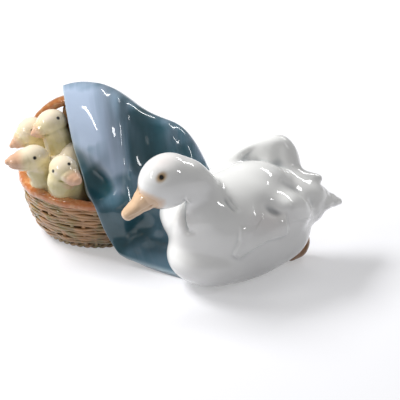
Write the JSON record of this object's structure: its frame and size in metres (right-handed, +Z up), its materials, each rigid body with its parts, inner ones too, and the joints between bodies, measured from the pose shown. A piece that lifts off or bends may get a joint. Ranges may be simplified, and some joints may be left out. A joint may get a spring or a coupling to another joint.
{
  "type": "porcelain duckling figurine",
  "caption": "Glazed porcelain figurine: a white duck lies beside a round woven basket and bends its neck to ducklings that look out from under a blue cloth.",
  "frame": {"origin": "middle of the base's bounding box, on the surface that the figurine stands on", "axes": "+Z up, +X from the basket toward the duck's tail, -Y toward the side that is meant to be seen"},
  "size_m": [0.2348, 0.1814, 0.1083],
  "materials": {
    "white_glaze": "gloss"
  },
  "bodies": {
    "root": {"figurine": "white_glaze"}
  },
  "joints": []
}
